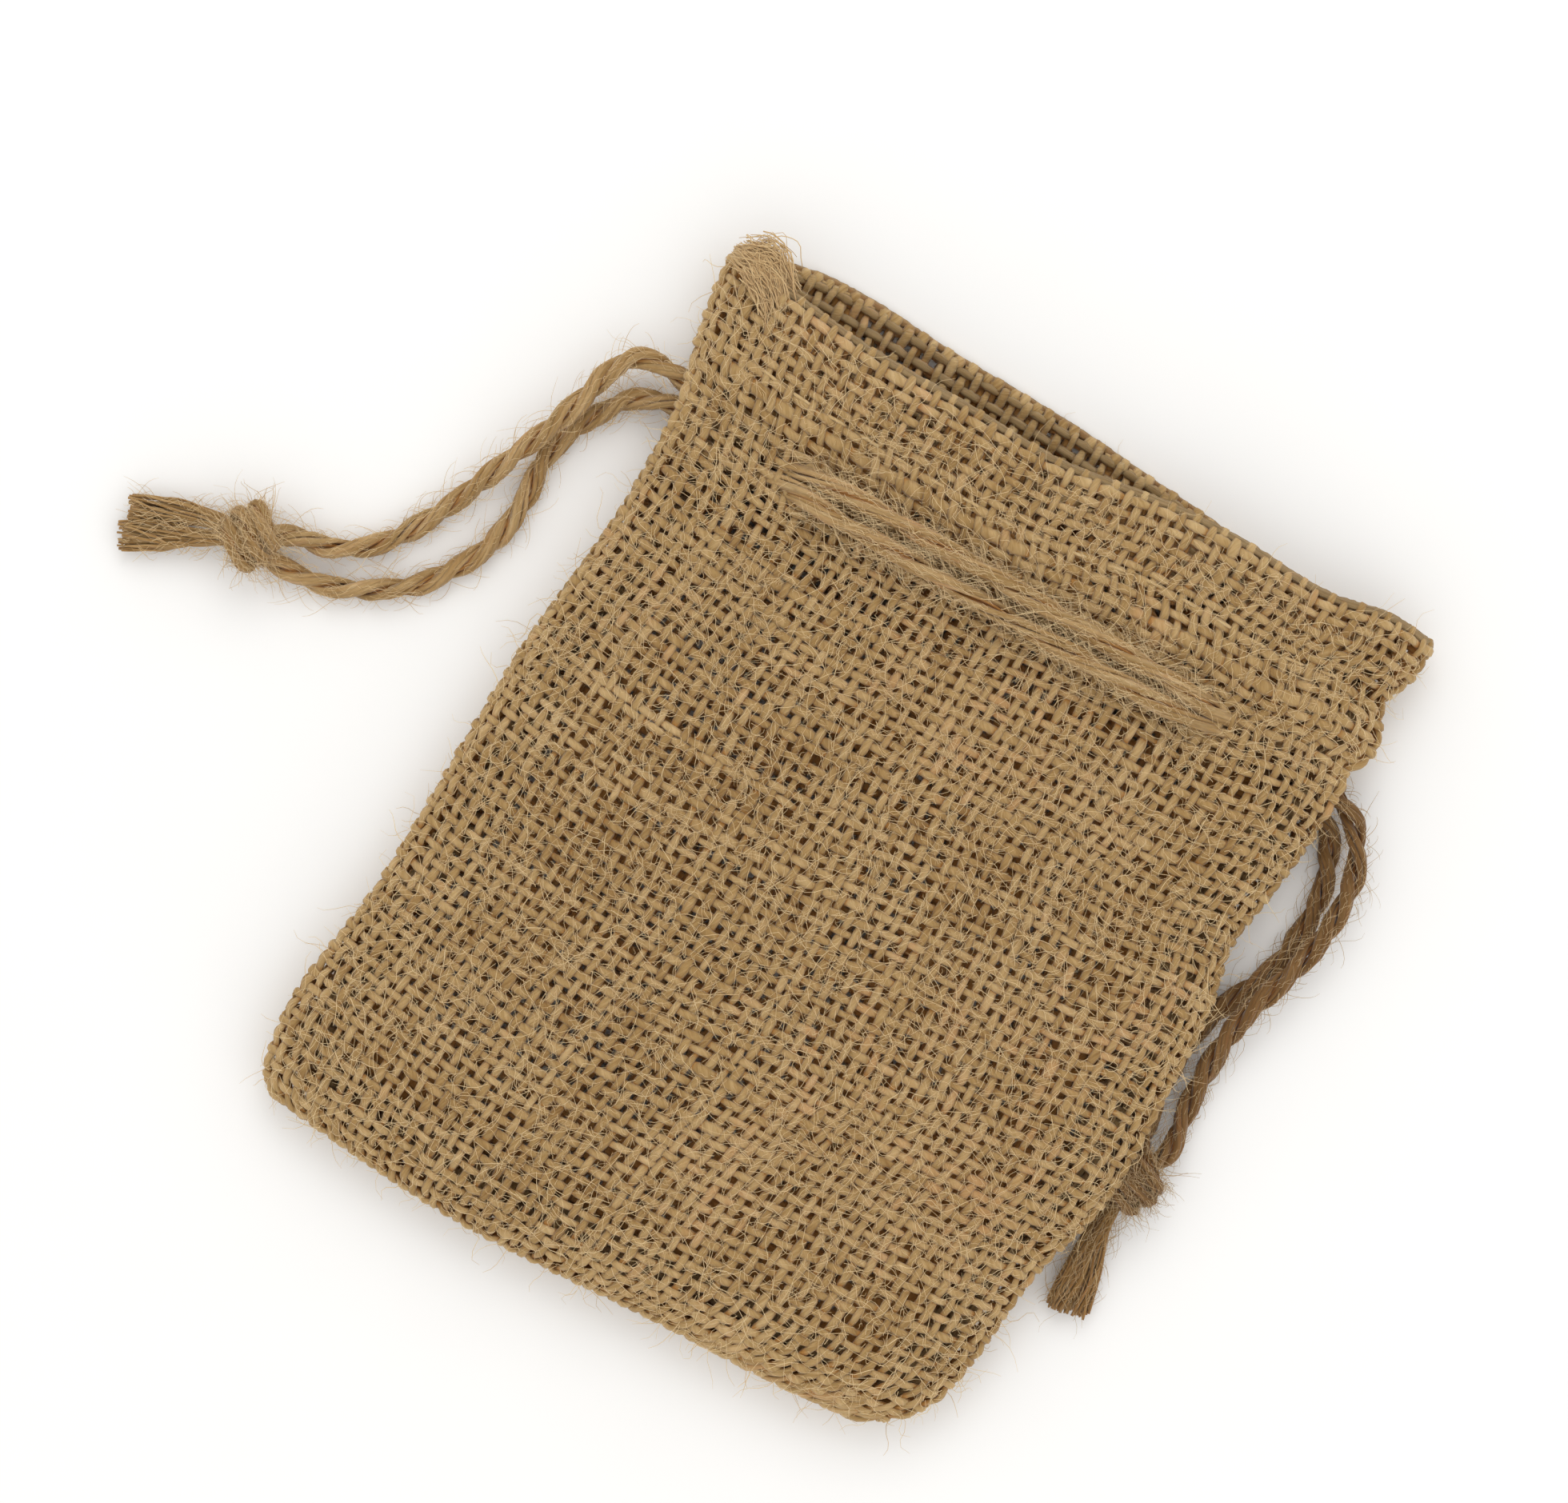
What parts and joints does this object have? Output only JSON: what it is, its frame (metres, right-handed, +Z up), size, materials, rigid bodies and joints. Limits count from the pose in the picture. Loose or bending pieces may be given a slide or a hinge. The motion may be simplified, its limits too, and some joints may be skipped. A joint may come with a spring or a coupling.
{
  "type": "hessian drawstring bag",
  "caption": "Small open-weave jute bag lying flat, with a turned hem at its mouth and a drawcord pulled from each side and tied in a knot.",
  "frame": {"origin": "centre of the bag's footprint on the surface it lies on, without its free cords", "axes": "+Y from the base to the mouth, +X to the right seen from the front, +Z up out of the front panel"},
  "size_m": [0.1674, 0.1273, 0.0131],
  "materials": {
    "cloth": "open plain weave of natural jute yarn, matte and hairy",
    "turned_cloth": "the same jute cloth, turned in and seen double",
    "thread": "fine tan sewing thread, matte",
    "twine": "soft twisted jute twine, hairy"
  },
  "bodies": {
    "bag_back": {"back_panel": "cloth", "back_hem": "turned_cloth", "back_hem_stitching": "thread", "left_seam": "turned_cloth", "left_seam_stitching": "thread", "right_seam": "turned_cloth", "right_seam_stitching": "thread", "base_seam": "turned_cloth", "base_seam_stitching": "thread", "left_cord_back_run": "twine", "right_cord_back_run": "twine"},
    "bag_front": {"front_panel": "cloth", "front_hem": "turned_cloth", "front_hem_stitching": "thread", "left_cord_front_run": "twine", "right_cord_front_run": "twine"},
    "left_pull": {"left_pull_front": "twine", "left_pull_back": "twine", "left_knot": "twine", "left_tail_1": "twine", "left_tail_2": "twine"},
    "right_pull": {"right_pull_front": "twine", "right_pull_back": "twine", "right_knot": "twine", "right_tail_1": "twine", "right_tail_2": "twine"}
  },
  "joints": [
    {"name": "mouth_open", "type": "hinge", "parent": "bag_back", "child": "bag_front", "pos_m": [0, -0.0635, 0.0048], "axis": [1, 0, 0], "range_deg": [0, 10]},
    {"name": "left_draw", "type": "slide", "parent": "bag_back", "child": "left_pull", "axis": [-1, 0, 0], "range_m": [0, 0.012]},
    {"name": "right_draw", "type": "slide", "parent": "bag_back", "child": "right_pull", "axis": [1, 0, 0], "range_m": [0, 0.012]}
  ]
}
